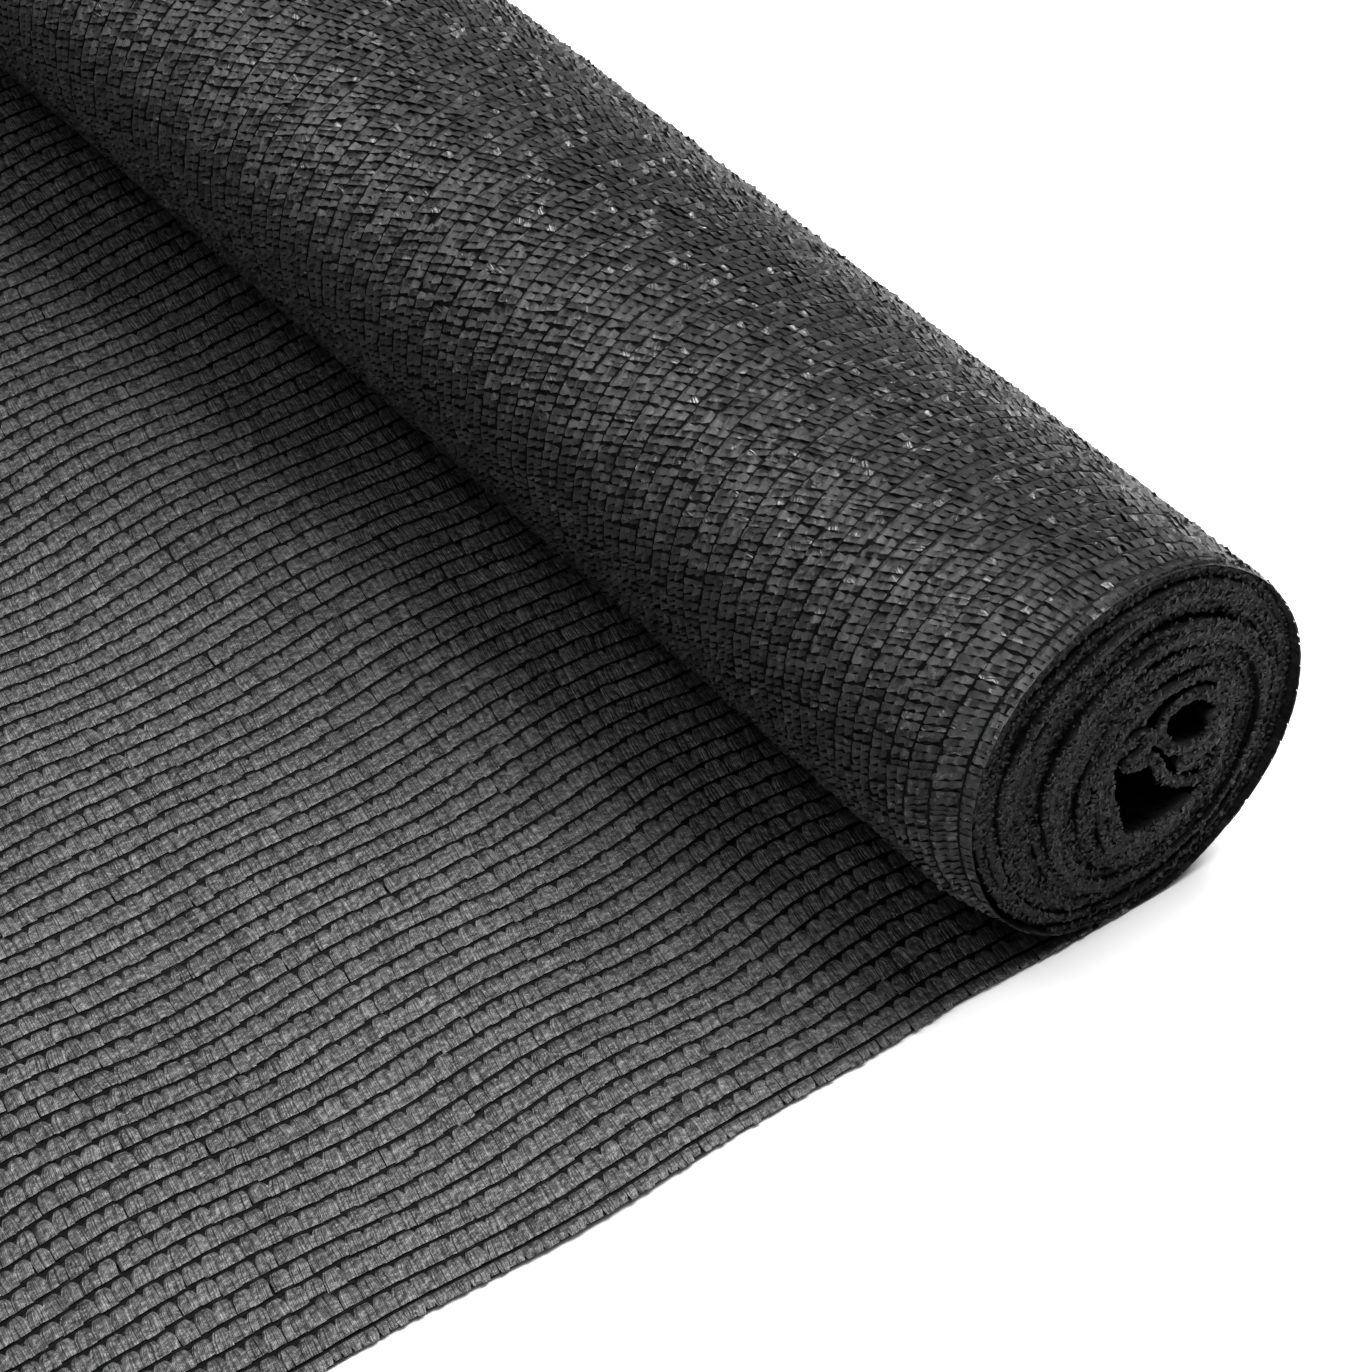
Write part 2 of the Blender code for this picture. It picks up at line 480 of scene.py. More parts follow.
def turn_room(count, sizes):
    """Thickness that the edge has at each of the winding's points, by the room to the next turn."""
    turns = turn_counts()[:-FOLD_OVERLAP]
    here = np.stack(roll_point(turns, NEAR_LUMPS, 0.0, sizes), axis=-1)
    there = np.stack(roll_point(turns + 1.0, NEAR_LUMPS, 0.0, sizes), axis=-1)
    room = 1.02 * (np.linalg.norm(here - there, axis=1) - slack(turns + 1.0) + slack(turns))
    room = np.concatenate([room, np.full(count - len(room), FOLD_ROOM)])
    last_turn = np.arange(count) > len(turns) - STEPS_PER_TURN - 2
    return np.clip(np.where(last_turn, FOLD_ROOM, room), LEAST_ROOM, sizes.edge_thickness)


def end_shift(turns, sizes):
    """How far the cloth lies towards the far end.

    At the lower right the inner turns lie behind the outermost one, which stands out a little.
    """
    low = smoothstep(0.5 + 0.9 * np.sin(2.0 * math.pi * (turns + 0.125)))
    inner = smoothstep((turns - 0.9) / 0.3)
    right = smoothstep((turns - 0.08) / 0.12) * smoothstep((0.45 - turns) / 0.12)
    return sizes.set_back * low * inner - EDGE_BULGE * right


def end_reach(distance, side, sizes):
    """Where the inner turns end along Y."""
    uneven = waves(
        distance,
        0.0,
        [
            (0.0006, 9.7, 0.0, 0.6),
            (0.0004, 31.0, 0.0, 2.0),
            (0.0004, 58.0, 0.0, 1.0),
            (0.0002, 330.0, 0.0, 0.3),
        ],
    )
    turns = FIRST_TURN + np.arange(len(distance)) / STEPS_PER_TURN
    uneven = uneven * smoothstep(turns - 1.5)
    return side * (0.5 * CLOTH_WIDTH - 0.0006) + end_shift(turns, sizes) + uneven


def rounded_end(x, y, z):
    """(x, z) of points of the roll, drawn in towards its axis near its ends."""
    across, up = x - AXIS_X, z - AXIS_Z
    size = np.hypot(across, up) + 1e-9
    facing = smoothstep(0.15 + 0.85 * (0.5 * up - 0.87 * across) / size)
    close = smoothstep(1.0 - (0.5 * CLOTH_WIDTH - np.abs(y)) / EDGE_RUN)
    share = 1.0 - EDGE_DIP / ROLL_RADIUS * facing * close
    return AXIS_X + across * share, AXIS_Z + up * share


# Loose end


def sheet_lift(length, along):
    """How far the loose end stands off the floor, as on the solid."""
    from_roll = -length - JOIN_LENGTH
    ripple = np.sin(13.0 * along - 17.0 * from_roll + 0.9) * np.sin(9.0 * along + 26.0 * from_roll)
    ripple = np.maximum(ripple - 0.25, 0.0) * RIPPLE_LIFT
    cut_end = smoothstep((from_roll - LOOSE_LENGTH + 0.045) / 0.045)
    cut_end = cut_end * FREE_END_LIFT * (0.5 + 0.5 * np.sin(19.0 * along + 0.8))
    soft = waves(
        length,
        along,
        [(0.00012, 88.0, 41.0, 0.4), (0.00010, -52.0, 97.0, 1.9), (0.00007, 160.0, -60.0, 0.2)],
    )
    soft = (soft + 0.0003) * smoothstep(from_roll / FLAT_BY_ROLL)
    return (ripple + cut_end) * smoothstep((from_roll - FLAT_BY_ROLL) / 0.06) + soft


def selvage_shift(length, share):
    """How far the loose end's chains stray along Y, because its selvages aren't quite straight."""
    from_roll = np.maximum(-length - JOIN_LENGTH, 0.0)
    near = np.sin(47.0 * from_roll + 0.4) + 0.5 * np.sin(118.0 * from_roll)
    far = np.sin(39.0 * from_roll + 2.1) + 0.5 * np.sin(97.0 * from_roll)
    reach = smoothstep(from_roll / FLAT_BY_ROLL)
    return SELVAGE_WAVER * reach * (near * (1.0 - share) + far * share)


def chain_wander(length, along, sizes):
    """How far the chains of the loose end stray along Y in long waves."""
    from_near = along + 0.5 * CLOTH_WIDTH
    reach = smoothstep(from_near / 0.03) * smoothstep((CLOTH_WIDTH - from_near) / 0.03)
    reach = reach * smoothstep((-length - JOIN_LENGTH) / 0.02)
    return -sizes.wander * reach * np.sin(105.0 * (length + 0.077 + 0.2 * (from_near - 0.05)))


def cloth_point(length, across, height, sizes):
    """Points in the row frame for arrays of cloth coordinates."""
    share = across / CLOTH_WIDTH
    along = across - 0.5 * CLOTH_WIDTH
    loose_along = along + selvage_shift(length, share) + chain_wander(length, along, sizes)
    radius = ROLL_RADIUS - 0.5 * sizes.turn_thickness
    turns = np.maximum(length, 0.0) / (2.0 * math.pi * radius)
    roll_x, roll_z = roll_point(turns, along, height, sizes)
    roll_y = along + end_shift(turns, sizes)
    roll_x, roll_z = rounded_end(roll_x, roll_y, roll_z)
    loose_x = AXIS_X + length
    loose_z = sheet_lift(length, loose_along) + 0.00045 + height
    on_roll = length > 0.0
    x = np.where(on_roll, roll_x, loose_x)
    y = np.where(on_roll, roll_y, loose_along)
    z = np.where(on_roll, roll_z, loose_z)
    return np.stack([x, y, np.maximum(z, LEAST_HEIGHT)], axis=-1)


# Meshes made of strips. A strip is a grid of points with a place along it and a place across it


def strip_faces(count, steps, wide, first):
    """Quads of a number of strips, each a grid of steps by wide points."""
    start = first + np.arange(count)[:, None, None] * steps * wide
    corner = start + np.arange(steps - 1)[None, :, None] * wide + np.arange(wide - 1)[None, None, :]
    quads = np.stack([corner, corner + wide, corner + wide + 1, corner + 1], axis=-1)
    return quads.reshape(-1, 4)


def joined_strips(strips):
    """One table of points, faces, material numbers, tones, sides and bake places from many strips."""
    places, faces, numbers, tones, sides, maps = [], [], [], [], [], []
    first = 0
    for points, tone, number, bake in strips:
        count, steps, wide = points.shape[:3]
        quads = strip_faces(count, steps, wide, first)
        places.append(points.reshape(-1, 3))
        faces.append(quads)
        numbers.append(np.full(len(quads), number))
        tones.append(np.broadcast_to(tone.reshape(count, -1, 1), (count, steps, wide)).ravel())
        sides.append(np.broadcast_to(np.linspace(-1.0, 1.0, wide), (count, steps, wide)).ravel())
        maps.append(bake.reshape(-1, 2))
        first += count * steps * wide
    corners = np.vstack(faces)
    numbers, tones, sides = np.concatenate(numbers), np.concatenate(tones), np.concatenate(sides)
    return np.vstack(places), corners, numbers, tones, sides, np.vstack(maps)[corners]


def add_piece(name, places, faces, numbers, tones, sides, maps, materials):
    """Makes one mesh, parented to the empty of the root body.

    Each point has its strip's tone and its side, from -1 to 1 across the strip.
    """
    mesh = bpy.data.meshes.new(name)
    mesh.from_pydata(places.tolist(), [], faces.tolist())
    mesh.polygons.foreach_set("material_index", numbers.astype(np.int32))
    for label, values in (("tone", tones), ("side", sides)):
        mesh.attributes.new(label, "FLOAT", "POINT").data.foreach_set("value", values.astype(np.float32))
    layer = mesh.uv_layers.new(name="OFBake")
    layer.data.foreach_set("uv", maps.astype(np.float32).ravel())
    mesh.shade_smooth()
    for material in materials:
        mesh.materials.append(material)
    piece = bpy.data.objects.new(name, mesh)
    bpy.context.scene.collection.objects.link(piece)
    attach(piece, "root")
    return piece


class Knit:
    """Where the knots of the net are: rows of stitches by chains, in cloth coordinates."""

    def __init__(self, sizes):
        self.sizes = sizes
        self.rng = np.random.default_rng(SEED)
        self.chains = int(round(CLOTH_WIDTH / sizes.row_pitch))
        self.row_pitch = (CLOTH_WIDTH - 2.0 * sizes.selvage) / self.chains
        wrapped = 2.0 * math.pi * (ROLL_RADIUS - 0.5 * sizes.turn_thickness) * OUTERMOST_SHARE
        self.loose_rows = int(LOOSE_LENGTH / sizes.stitch)
        self.rows = self.loose_rows + int(wrapped / sizes.stitch)
        row = np.arange(self.rows + 1)[:, None] - self.loose_rows
        chain = np.arange(self.chains + 1)[None, :]
        jitter = self.rng.normal(size=(2, self.rows + 1, self.chains + 1))
        pull = waves(row, chain, [(0.22, 0.13, 0.05, 0.0), (0.15, -0.09, 0.21, 1.3), (0.10, 0.31, 0.11, 2.2)])
        drift = waves(row, chain, [(0.07, 0.11, -0.07, 0.5), (0.05, 0.23, 0.13, 1.1)])
        inside = np.clip(np.minimum(chain, self.chains - chain) / 2.0, 0.25, 1.0)
        self.length = (row + pull + 0.045 * jitter[0]) * sizes.stitch
        self.across = sizes.selvage + (chain + (drift + 0.035 * jitter[1]) * inside) * self.row_pitch

    def tension(self, rows, chains):
        """From 0, where the tapes lie slack and round, to 1, where they are drawn tight."""
        field = waves(rows, chains, [(0.5, 0.05, 0.11, 0.4), (0.5, -0.11, 0.06, 2.6), (0.4, 0.17, 0.03, 4.0)])
        return np.clip(0.5 + 0.45 * field, 0.0, 1.0)

    def bake_place(self, length, across, first, last, left, right):
        """Places of points on the bake's image: cloth coordinates in an upright part of it."""
        low, high = self.length.min(), self.length.max()
        wide = ((across - self.sizes.selvage) / self.row_pitch - first) / (last - first)
        return np.stack([left + (right - left) * wide, 0.01 + 0.98 * (length - low) / (high - low)], axis=-1)

    def tapes(self, first, last):
        """Front strips between the chains first and last: two or three for each stitch.

        On the loose end the strips gather at the far chain and lie close together. The roll shows
        the cloth's other side, where they are less even.
        """
        rows, chains = np.meshgrid(np.arange(self.rows), np.arange(first, last), indexing="ij")
        rows, chains = rows.ravel(), chains.ravel()
        roll = rows >= self.loose_rows
        made = self.strips(rows[~roll], chains[~roll], first, last, LOOSE_STRIPS, 0)
        return made + self.strips(rows[roll], chains[roll], first, last, ROLL_STRIPS, 2)

    def strips(self, rows, chains, first, last, form, number):
        """Strips that lie side by side in each cell of the net, in the way that a form gives."""
        sizes, rng = self.sizes, self.rng
        share, wide, drawn_in, rise = (np.array([form[key]]) for key in ("share", "width", "gather", "rise"))
        start, end = form["reach"]
        sides = np.array([-0.5, 0.5])[None, None, :]
        triple = rng.random(len(rows)) < form["triple"]
        made = []
        for offset in (-1.0, 0.0, 1.0):
            kept = triple | (offset != 0.0)
            row, chain, full = rows[kept], chains[kept], triple[kept][:, None]
            noise = rng.normal(size=(6, len(row), 1))
            uneven = rng.normal(size=(2, len(row), share.shape[1]))
            tight = self.tension(row, chain)[:, None]
            gather = drawn_in + (1.0 - drawn_in) * 0.75 * tight
            middle = offset * np.where(full, 0.33, 0.25) + form["sway"] * noise[0]
            far = self.length[row, chain + 1][:, None] + 0.5 * (1.0 + form["lean_over"]) * sizes.stitch
            near = self.length[row, chain][:, None] + 0.5 * (1.0 - form["lean_over"]) * sizes.stitch
            lean = form["lean"] * noise[1] * (0.5 - share)
            length = far * (1.0 - share) + near * share + (middle * gather + lean) * sizes.stitch
            place = start + (end - start) * share + form["shift"] * noise[2]
            left, right = self.across[row, chain][:, None], self.across[row, chain + 1][:, None]
            across = left + place * (right - left)
            width = np.where(wide < 1.0, wide + (1.0 - wide) * form["fill"] * tight, wide)
            width = sizes.tape_width * np.where(full, 0.68, 1.0) * width
            width = width * (1.0 + form["uneven_width"] * noise[3])
            crown = sizes.tape_crown * form["crown"] * (1.15 - 0.3 * tight)
            crown = crown * (1.0 + form["uneven_crown"] * noise[4])
            height = 0.00008 + crown * rise + form["ripple"] * uneven[0]
            tilt = form["twist"] * uneven[1] * rise
            length = length[:, :, None] + sides * width[:, :, None]
            across = np.broadcast_to(across[:, :, None], length.shape)
            height = height[:, :, None] + 2.0 * sides * tilt[:, :, None]
            points = cloth_point(length, across, height, sizes)
            patches = rng.normal(size=(len(row), share.shape[1]))
            tone = 1.0 + form["tone"] * noise[5] + form["patchy"] * patches
            tone = form["level"] * np.clip(tone, 0.3, 2.4)
            made.append((points, tone, number, self.bake_place(length, across, first, last, 0.01, 0.79)))
        return made

    def chain_lines(self, first, last):
        """The chains: a ridge of yarn with a knot at each stitch."""
        sizes, rng = self.sizes, self.rng
        chain = np.arange(first, last)
        knots = np.stack([self.length[:, chain].T, self.across[:, chain].T], axis=-1)
        between = 0.5 * (knots[:, :-1] + knots[:, 1:])
        steps = 2 * self.rows + 1
        middle = np.empty((len(chain), steps, 2))
        middle[:, 0::2] = knots
        middle[:, 1::2] = between
        roll = np.arange(steps) >= 2 * self.loose_rows
        middle[:, 0::2, 1] -= np.where(roll, 0.00020, 0.00014)[0::2]
        knot = (np.arange(steps) % 2 == 0)[None, :]
        noise = rng.normal(size=(2, len(chain), steps))
        width = sizes.chain_width * np.where(knot, 1.25, 0.80) * (1.0 + 0.12 * noise[0])
        width = width * np.where(roll, 0.8, 1.0)
        low = np.where(roll, 0.00012, 0.00014)
        top = low + np.where(knot, 0.00018, 0.0) + 0.00005 * noise[1]
        sides = np.array([-0.5, 0.0, 0.5])[None, None, :]
        length = np.broadcast_to(middle[:, :, None, 0], (len(chain), steps, 3))
        across = middle[:, :, None, 1] + sides * width[:, :, None]
        ridge = np.array([0.0, 1.0, 0.0])[None, None, :]
        height = 0.00002 + ridge * top[:, :, None]
        points = cloth_point(length, across, height, sizes)
        bake = self.bake_place(length, across, first - 0.5, last - 0.5, 0.81, 0.99)
        # painted shade: the chains are darker on the loose end than on the roll
        tone = np.broadcast_to(np.where(roll, ROLL_CHAIN_LESS_SHADE, 1.0), (len(chain), steps))
        return [(points, tone, 1, bake)]

    def selvage_strips(self, far_side):
        """Tape that turns back outside the last chain: two lobes for each stitch."""
        sizes, rng = self.sizes, self.rng
        chain = self.chains if far_side else 0
        way = 1.0 if far_side else -1.0
        row = np.repeat(np.arange(self.rows), 2)
        count = len(row)
        noise = rng.normal(size=(5, count, 1))
        share = np.array([[0.0, 0.3, 0.65, 1.0]])
        lobe = (np.arange(count) % 2)[:, None]
        start = self.length[row, chain][:, None] + sizes.stitch * (0.25 + 0.5 * lobe)
        roll = row >= self.loose_rows
        uneven = np.where(roll[:, None], 0.015, 0.05)
        reach = sizes.selvage * np.clip(0.97 + uneven * noise[0], 0.8, 1.05)
        length = start + sizes.stitch * (0.04 * noise[1] + 0.14 * way * share)
        across = self.across[row, chain][:, None] + way * (0.0003 + (reach - 0.0003) * share)
        low, wide = [[0.00012, 0.00026, 0.00022, 0.00002]], [[0.96, 1.02, 1.0, 0.72]]
        low_roll, wide_roll = [[0.00002, 0.00036, 0.00008, 0.00010]], [[0.60, 0.95, 0.66, 0.96]]
        height = 0.0001 + np.where(roll[:, None], low_roll, low) * (1.0 + 0.25 * noise[2])
        width = SELVAGE_TAPE * (1.0 + 0.07 * noise[3]) * np.where(roll[:, None], wide_roll, wide)
        sides = np.array([-0.5, 0.5])[None, None, :]
        length = length[:, :, None] + sides * width[:, :, None]
        across = np.broadcast_to(across[:, :, None], length.shape)
        height = np.broadcast_to(height[:, :, None], length.shape)
        points = cloth_point(length, across, height, sizes)
        tone = np.clip(1.0 + 0.15 * noise[4] + 0.40 * roll[:, None] * rng.normal(size=(count, 4)), 0.4, 2.2)
        edge = self.chains - 0.5 if far_side else 0.5
        bake = self.bake_place(length, across, edge - 1.5, edge + 1.5, 0.01, 0.79)
        return [(points[part], tone[part], number, bake[part]) for part, number in ((~roll, 0), (roll, 2))]

    def ground(self):
        """Broad tapes on the net's back, which lean the other way and leave slits."""
        sizes, rng = self.sizes, self.rng
        rows, chains = np.meshgrid(np.arange(self.rows), np.arange(self.chains), indexing="ij")
        rows, chains = rows.ravel(), chains.ravel()
        share = np.linspace(0.0, 1.0, 3)[None, :]
        noise = rng.normal(size=(3, len(rows), 1))
        far = self.length[rows, chains + 1] + sizes.stitch * (0.5 - 0.22)
        near = self.length[rows, chains] + sizes.stitch * (0.5 + 0.22)
        length = far[:, None] * (1.0 - share) + near[:, None] * share
        left = np.where(chains == 0, 0.0002, self.across[rows, chains])[:, None]
        right = self.across[rows, chains + 1]
        right = np.where(chains == self.chains - 1, CLOTH_WIDTH - 0.0002, right)[:, None]
        across = right * (1.0 - share) + left * share
        width = sizes.stitch * (1.12 + 0.02 * noise[0]) * np.ones_like(share)
        sides = np.array([-0.5, 0.5])[None, None, :]
        length = length[:, :, None] + sides * width[:, :, None]
        across = np.broadcast_to(across[:, :, None], length.shape)
        sag = -0.00014 * np.sin(math.pi * share)
        height = np.broadcast_to(sag[:, :, None], length.shape) + 0.00003 * noise[1][:, :, None]
        points = cloth_point(length, across, height, sizes)
        tone = np.clip(1.0 + 0.25 * noise[2][:, 0], 0.4, 1.8)
        # painted shade: the back's tapes are darker on the loose end than on the roll
        tone = tone * np.where(rows >= self.loose_rows, ROLL_BACK_LESS_SHADE, 1.0)
        bake = self.bake_place(length, across, 0, self.chains, 0.01, 0.99)
        return [(points, tone, 0, bake)]


def turn_edges(line, outward, distance, side, rng, sizes):
    """Knit along one end of the inner turns: strips on both faces, and short bits of tape on the edge."""
    made = []
    ends = end_reach(distance, side, sizes)
    room = turn_room(len(line), sizes)
    total = distance[-1] - 0.002
    sides = np.array([-0.5, 0.5])[None, None, :]
    across = np.array([[-1.0, 0.0, 1.0]])

    def add(length, inset, height, tone):
        x = np.interp(length, distance, line[:, 0]) + height * np.interp(length, distance, outward[:, 0])
        z = np.interp(length, distance, line[:, 1]) + height * np.interp(length, distance, outward[:, 1])
        y = np.interp(length, distance, ends) - side * inset
        x, z = rounded_end(x, y, z)
        points = np.stack([x, y, np.maximum(z, LEAST_HEIGHT)], axis=-1)
        from_edge = 0.05 + 0.9 * np.clip(inset / 0.005, 0.0, 1.0)
        bake = np.stack([from_edge, 0.01 + 0.98 * length / distance[-1]], axis=-1)
        made.append((points, np.clip(tone, 0.25, 2.6), 0, bake))

    for face in (-1.0, 1.0):
        start = np.arange(0.001, total, 0.5 * sizes.stitch)
        noise = rng.normal(size=(6, len(start), 1))
        length = start[:, None] + 0.0003 * noise[0] + 0.0007 * across * (0.5 + 0.2 * noise[1])
        width = 0.0010 * (1.0 + 0.2 * noise[5])
        inset = 0.0024 + 0.0015 * across + 0.0003 * noise[2]
        half = 0.5 * np.interp(length, distance, room) * np.array([[0.98, 0.75, 0.55]]) + 0.00006 * noise[3]
        height = face * half[:, :, None] + sides * (0.00015 * noise[4])[:, :, None]
        length = length[:, :, None] + sides * width[:, :, None]
        inset = np.broadcast_to(inset[:, :, None], length.shape)
        add(length, inset, height, 0.5 + 0.25 * noise[1][:, 0])

    # the bits of tape are spread evenly over the area of the edges
    area = np.concatenate([[0.0], np.cumsum(0.5 * (room[1:] + room[:-1]) * np.diff(distance))])
    count = int(area[-1] / 0.34e-6)
    start = np.interp(np.sort(rng.random(count)) * area[-1], area, distance)[:, None]
    start = np.clip(start, 0.001, total)
    noise = rng.normal(size=(5, count, 1))
    middle = 0.96 * (rng.random((count, 1)) - 0.5) * np.interp(start, distance, room)
    turn = 0.9 * noise[0] + 0.5 * math.pi
    reach = 0.00044 * (1.0 + 0.25 * noise[1])
    wide = 0.00048 * (1.0 + 0.25 * noise[2])
    length = (start + reach * across * np.cos(turn))[:, :, None] - sides * (wide * np.sin(turn))[:, :, None]
    height = (middle + reach * across * np.sin(turn))[:, :, None] + sides * (wide * np.cos(turn))[:, :, None]
    inset = 0.00022 * across**2 - 0.00012 + 0.00016 * noise[3]
    inset = inset[:, :, None] + sides * (0.00016 * noise[4])[:, :, None]
    add(length, inset, height, 1.0 + 0.5 * rng.normal(size=count))
    return made


# Materials


def socket(group, name, kind, output=False, default=None):
    way = "OUTPUT" if output else "INPUT"
    made = group.interface.new_socket(name=name, in_out=way, socket_type=kind)
    if default is not None:
        made.default_value = default
    return made


def yarn_group():
    """Colour, roughness and relief of plastic yarn: uneven tone, flecks and fine streaks, with painted shade
    that darkens each strip towards its sides.
    """
    group = bpy.data.node_groups.get("Yarn unevenness and edge shade")
    if group:
        return group
    group = bpy.data.node_groups.new("Yarn unevenness and edge shade", "ShaderNodeTree")
    socket(group, "Colour", "NodeSocketColor")
    socket(group, "Tone", "NodeSocketFloat", default=1.0)
    socket(group, "Side", "NodeSocketFloat", default=0.0)
    socket(group, "Fleck size", "NodeSocketFloat", default=0.0008)
    socket(group, "Fleck contrast", "NodeSocketFloat", default=1.4)
    socket(group, "Roughness", "NodeSocketFloat", default=0.45)
    socket(group, "Colour", "NodeSocketColor", output=True)
    socket(group, "Roughness", "NodeSocketFloat", output=True)
    socket(group, "Height", "NodeSocketFloat", output=True)
    nodes, links = group.nodes, group.links
    given = nodes.new("NodeGroupInput")
    result = nodes.new("NodeGroupOutput")
    place = nodes.new("ShaderNodeTexCoord")
    scale = nodes.new("ShaderNodeMath")
    scale.operation = "DIVIDE"
    scale.inputs[0].default_value = 1.0
    links.new(given.outputs["Fleck size"], scale.inputs[1])
    fleck = nodes.new("ShaderNodeTexNoise")
    fleck.inputs["Detail"].default_value = 2.0
    links.new(place.outputs["Object"], fleck.inputs["Vector"])
    links.new(scale.outputs[0], fleck.inputs["Scale"])
    broad = nodes.new("ShaderNodeTexNoise")
    broad.inputs["Scale"].default_value = 24.0
    broad.inputs["Detail"].default_value = 3.0
    links.new(place.outputs["Object"], broad.inputs["Vector"])
    from_mean = arithmetic(nodes, links, "SUBTRACT", fleck.outputs["Fac"], 0.5)
    from_mean = arithmetic(nodes, links, "MULTIPLY", from_mean, given.outputs["Fleck contrast"])
    fleck_share = arithmetic(nodes, links, "MAXIMUM", arithmetic(nodes, links, "ADD", from_mean, 1.0), 0.15)
    broad_share = ranged(nodes, links, broad.outputs["Fac"], 0.3, 0.7, 0.84, 1.16)
    both = arithmetic(nodes, links, "MULTIPLY", fleck_share, broad_share)
    rounded = arithmetic(nodes, links, "MULTIPLY", given.outputs["Side"], given.outputs["Side"])
    streak = nodes.new("ShaderNodeTexNoise")
    streak.noise_dimensions = "1D"
    streak.inputs["Scale"].default_value = 1.0
    streak.inputs["Detail"].default_value = 1.0
    strip = arithmetic(nodes, links, "MULTIPLY", given.outputs["Tone"], 91.0)
    spread = arithmetic(nodes, links, "MULTIPLY", given.outputs["Side"], 1.9)
    links.new(arithmetic(nodes, links, "ADD", strip, spread), streak.inputs["W"])
    streak_share = ranged(nodes, links, streak.outputs["Fac"], 0.3, 0.7, 0.50, 1.50)
    # painted shade: the colour darkens towards the strip's sides, so that it looks round
    edge_shade_share = ranged(nodes, links, rounded, 0.3, 1.0, 1.0, 0.85)
    both = arithmetic(nodes, links, "MULTIPLY", both, streak_share)
    both = arithmetic(nodes, links, "MULTIPLY", both, edge_shade_share)
    toned = arithmetic(nodes, links, "MULTIPLY", both, given.outputs["Tone"])
    colour = nodes.new("ShaderNodeVectorMath")
    colour.operation = "SCALE"
    links.new(given.outputs["Colour"], colour.inputs[0])
    links.new(toned, colour.inputs["Scale"])
    links.new(colour.outputs[0], result.inputs["Colour"])
    rough_share = ranged(nodes, links, fleck.outputs["Fac"], 0.3, 0.7, 1.15, 0.85)
    rough = arithmetic(nodes, links, "MULTIPLY", rough_share, given.outputs["Roughness"])
    links.new(rough, result.inputs["Roughness"])
    crest = arithmetic(nodes, links, "MULTIPLY", rounded, -0.5)
    streaks = arithmetic(nodes, links, "MULTIPLY", streak.outputs["Fac"], 0.9)
    flecks = arithmetic(nodes, links, "MULTIPLY", from_mean, 0.5)
    height = arithmetic(nodes, links, "ADD", crest, streaks)
    links.new(arithmetic(nodes, links, "ADD", height, flecks), result.inputs["Height"])
    return group


def arithmetic(nodes, links, operation, first, second):
    """A math node on two outputs, or on an output and a number."""
    node = nodes.new("ShaderNodeMath")
    node.operation = operation
    for place, value in enumerate((first, second)):
        if isinstance(value, (int, float)):
            node.inputs[place].default_value = value
        else:
            links.new(value, node.inputs[place])
    return node.outputs[0]


def ranged(nodes, links, value, low, high, to_low, to_high):
    node = nodes.new("ShaderNodeMapRange")
    for name, number in (("From Min", low), ("From Max", high), ("To Min", to_low), ("To Max", to_high)):
        node.inputs[name].default_value = number
    links.new(value, node.inputs["Value"])
    return node.outputs["Result"]


def yarn_material(name, colours):
    """One plastic yarn, with the tone of each strip from the mesh."""
    material = bpy.data.materials.get(name)
    if material:
        return material
    colour, roughness, fleck, contrast, relief, specular = YARNS[name]
    material = bpy.data.materials.new(name)
    material.use_nodes = True
    nodes, links = material.node_tree.nodes, material.node_tree.links
    shader = nodes["Principled BSDF"]
    shader.inputs["Specular IOR Level"].default_value = specular
    tone = nodes.new("ShaderNodeAttribute")
    tone.attribute_name = "tone"
    side = nodes.new("ShaderNodeAttribute")
    side.attribute_name = "side"
    yarn = nodes.new("ShaderNodeGroup")
    yarn.node_tree = yarn_group()
    yarn.inputs["Colour"].default_value = (*getattr(colours, colour), 1.0)
    yarn.inputs["Fleck size"].default_value = fleck
    yarn.inputs["Fleck contrast"].default_value = contrast
    yarn.inputs["Roughness"].default_value = roughness
    bump = nodes.new("ShaderNodeBump")
    bump.inputs["Distance"].default_value = relief
    links.new(tone.outputs["Fac"], yarn.inputs["Tone"])
    links.new(side.outputs["Fac"], yarn.inputs["Side"])
    links.new(yarn.outputs["Colour"], shader.inputs["Base Color"])
    links.new(yarn.outputs["Roughness"], shader.inputs["Roughness"])
    links.new(yarn.outputs["Height"], bump.inputs["Height"])
    links.new(bump.outputs["Normal"], shader.inputs["Normal"])
    return material


# Operators


